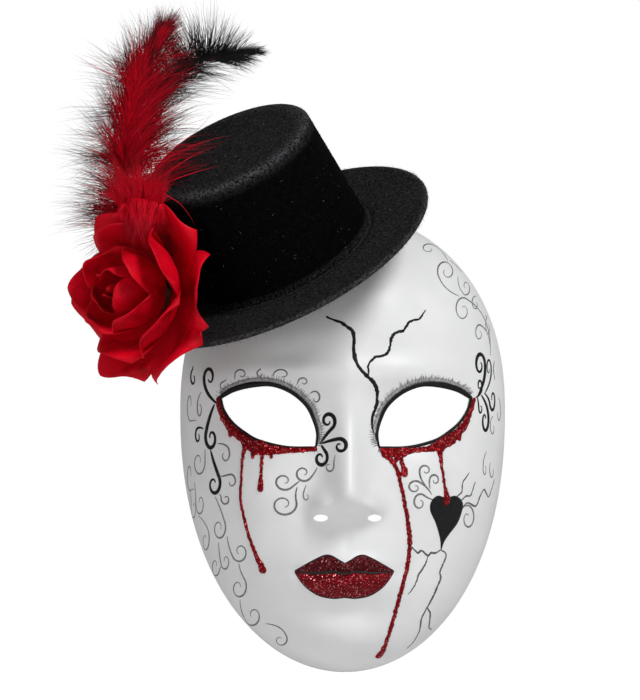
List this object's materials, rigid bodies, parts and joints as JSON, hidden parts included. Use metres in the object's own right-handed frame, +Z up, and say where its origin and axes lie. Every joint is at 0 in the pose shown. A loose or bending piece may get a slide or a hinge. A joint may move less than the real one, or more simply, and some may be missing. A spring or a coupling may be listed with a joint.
{
  "type": "venetian masquerade mask",
  "caption": "White moulded full-face masquerade mask with red glitter tears, a tilted felt top hat, a velvet rose and marabou feathers.",
  "frame": {"origin": "on the mask's centre line at eye height, on the plane of the rearmost rim at the temples", "axes": "+Z up along the face, +X to the viewer's right, the face looks along -Y"},
  "size_m": [0.2206, 0.1525, 0.3322],
  "materials": {
    "painted_shell": "satin white paint over a moulded shell, with black and grey brush lines",
    "red_glitter": "red glitter set in clear glue",
    "wine_glitter": "deep wine glitter over lip paint",
    "black_felt": "brushed felt",
    "hot_melt": "cloudy hot-melt glue",
    "red_velvet": "short-pile velvet",
    "calyx_plastic": "moulded, matt",
    "red_down": "soft down",
    "black_down": "soft down",
    "anchor_plastic": "moulded, satin"
  },
  "bodies": {
    "root": {"black_feather": "black_down", "glitter_tears_left": "red_glitter", "glitter_tears_right": "red_glitter", "hat_brim": "black_felt", "hat_crown": "black_felt", "hat_glue_dab_1": "hot_melt", "hat_glue_dab_2": "hot_melt", "hat_glue_dab_3": "hot_melt", "lower_lip_glitter": "wine_glitter", "mask_shell": "painted_shell", "red_feather": "red_down", "rose_bud": "red_velvet", "rose_calyx": "calyx_plastic", "rose_glue_dab": "hot_melt", "rose_petal_01": "red_velvet", "rose_petal_02": "red_velvet", "rose_petal_03": "red_velvet", "rose_petal_04": "red_velvet", "rose_petal_05": "red_velvet", "rose_petal_06": "red_velvet", "rose_petal_07": "red_velvet", "rose_petal_08": "red_velvet", "rose_petal_09": "red_velvet", "rose_petal_10": "red_velvet", "rose_petal_11": "red_velvet", "rose_petal_12": "red_velvet", "rose_petal_13": "red_velvet", "rose_petal_14": "red_velvet", "rose_petal_15": "red_velvet", "rose_petal_16": "red_velvet", "rose_petal_17": "red_velvet", "rose_petal_18": "red_velvet", "strap_anchor_left": "anchor_plastic", "strap_anchor_right": "anchor_plastic", "upper_lip_glitter": "wine_glitter"}
  },
  "joints": []
}
